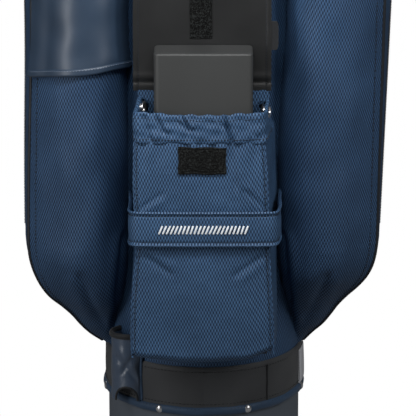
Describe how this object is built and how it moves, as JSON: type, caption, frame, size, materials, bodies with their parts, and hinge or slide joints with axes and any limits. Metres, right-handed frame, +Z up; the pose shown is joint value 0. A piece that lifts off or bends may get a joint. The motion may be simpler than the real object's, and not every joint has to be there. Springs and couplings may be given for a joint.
{
  "type": "golf bag",
  "caption": "Standing golf trolley bag with side pockets, a front pouch with a fold-over flap and box, an umbrella sleeve, divided top and a shoulder strap.",
  "frame": {"origin": "centre of the underside of the base, on the floor", "axes": "+Z up, -Y towards the front pouch, +X to the right seen from the front"},
  "size_m": [0.4122, 0.3854, 0.8903],
  "materials": {
    "navy_dobby": null,
    "coated_fabric": "satin",
    "black_nylon": null,
    "binding_fabric": null,
    "webbing": null,
    "hook_tape": null,
    "zip_tape": null,
    "black_piping": "satin",
    "cup_plastic": null,
    "black_plastic": null,
    "box_plastic": null,
    "rubber": null,
    "steel": null
  },
  "bodies": {
    "bag": {"base_cup": "cup_plastic", "base_feet": "rubber", "rim_binding": "binding_fabric", "rim_rivets": "steel", "base_collar": "black_nylon", "body_panel_front": "navy_dobby", "body_panel_left": "navy_dobby", "body_panel_right": "navy_dobby", "body_panel_back": "navy_dobby", "back_pad": "black_nylon", "stay_rods": "black_plastic", "top_cuff": "black_plastic", "divider_bars": "black_plastic", "well_dividers": "black_nylon", "front_handle": "black_plastic", "rear_handle": "black_plastic", "hood_studs": "steel", "towel_tab": "webbing", "left_pocket": "navy_dobby", "right_pocket": "navy_dobby", "left_pocket_piping": "black_piping", "right_pocket_piping": "black_piping", "left_pocket_zip": "zip_tape", "right_pocket_zip": "zip_tape", "left_cover_panel": "coated_fabric", "valuables_pocket": "navy_dobby", "valuables_zip": "zip_tape", "pouch_front": "navy_dobby", "pouch_left_gusset": "navy_dobby", "pouch_right_gusset": "navy_dobby", "pouch_floor": "navy_dobby", "pouch_back": "black_nylon", "pouch_hem": "navy_dobby", "pouch_eyelets": "steel", "hook_patch": "hook_tape", "strap_band": "navy_dobby", "flap_foot": "black_nylon", "left_umbrella_sleeve": "coated_fabric", "left_sleeve_binding": "black_piping", "right_collar_patch": "coated_fabric", "strap_lugs": "black_plastic"},
    "storage_box": {"storage_box": "box_plastic", "storage_box_lid": "box_plastic"},
    "flap_panel": {"flap_panel": "black_nylon", "panel_loop_strip": "hook_tape", "flap_side_tab": "webbing"},
    "flap_lip": {"flap_lip": "black_nylon", "lip_loop_strip": "hook_tape"},
    "left_slider": {"left_zip_slider": "steel"},
    "left_pull": {"left_zip_pull": "steel"},
    "right_slider": {"right_zip_slider": "steel"},
    "right_pull": {"right_zip_pull": "steel"},
    "valuables_slider": {"valuables_zip_slider": "steel"},
    "valuables_pull": {"valuables_zip_pull": "steel"},
    "shoulder_strap": {"strap_webbing": "webbing", "strap_pad": "black_nylon", "strap_hooks": "black_plastic"},
    "towel_ring": {"towel_ring": "steel"}
  },
  "joints": [
    {"name": "box_lift", "type": "slide", "parent": "bag", "child": "storage_box", "axis": [0, 0, 1], "range_m": [0, 0.235]},
    {"name": "flap_fold", "type": "hinge", "parent": "bag", "child": "flap_panel", "pos_m": [0, -0.1183, 0.4698], "axis": [-1, 0, 0], "range_deg": [-90, 0]},
    {"name": "lip_fold", "type": "hinge", "parent": "flap_panel", "child": "flap_lip", "pos_m": [0, -0.1183, 0.5276], "axis": [-1, 0, 0], "range_deg": [-90, 0]},
    {"name": "left_zip_slide", "type": "slide", "parent": "bag", "child": "left_slider", "axis": [0, 0, 1], "range_m": [-0.4, 0.012]},
    {"name": "left_pull_swing", "type": "hinge", "parent": "left_slider", "child": "left_pull", "pos_m": [-0.1974, -0.03, 0.6788], "axis": [0, 1, 0], "range_deg": [0, 90]},
    {"name": "right_zip_slide", "type": "slide", "parent": "bag", "child": "right_slider", "axis": [0.032, 0, 0.9995], "range_m": [-0.4, 0.012]},
    {"name": "right_pull_swing", "type": "hinge", "parent": "right_slider", "child": "right_pull", "pos_m": [0.20993, -0.03, 0.67844], "axis": [0, -1, 0], "range_deg": [0, 90]},
    {"name": "valuables_zip_slide", "type": "slide", "parent": "bag", "child": "valuables_slider", "axis": [1, 0, 0], "range_m": [0, 0.092]},
    {"name": "valuables_pull_swing", "type": "hinge", "parent": "valuables_slider", "child": "valuables_pull", "pos_m": [-0.046, -0.1228, 0.7363], "axis": [-1, 0, 0], "range_deg": [0, 90]},
    {"name": "strap_swing", "type": "hinge", "parent": "bag", "child": "shoulder_strap", "pos_m": [0, 0.13, 0.551], "axis": [0, 0, 1], "range_deg": [-40, 40]},
    {"name": "towel_ring_swing", "type": "hinge", "parent": "bag", "child": "towel_ring", "pos_m": [-0.1285, 0, 0.842], "axis": [0, 1, 0], "range_deg": [0, 85]}
  ]
}
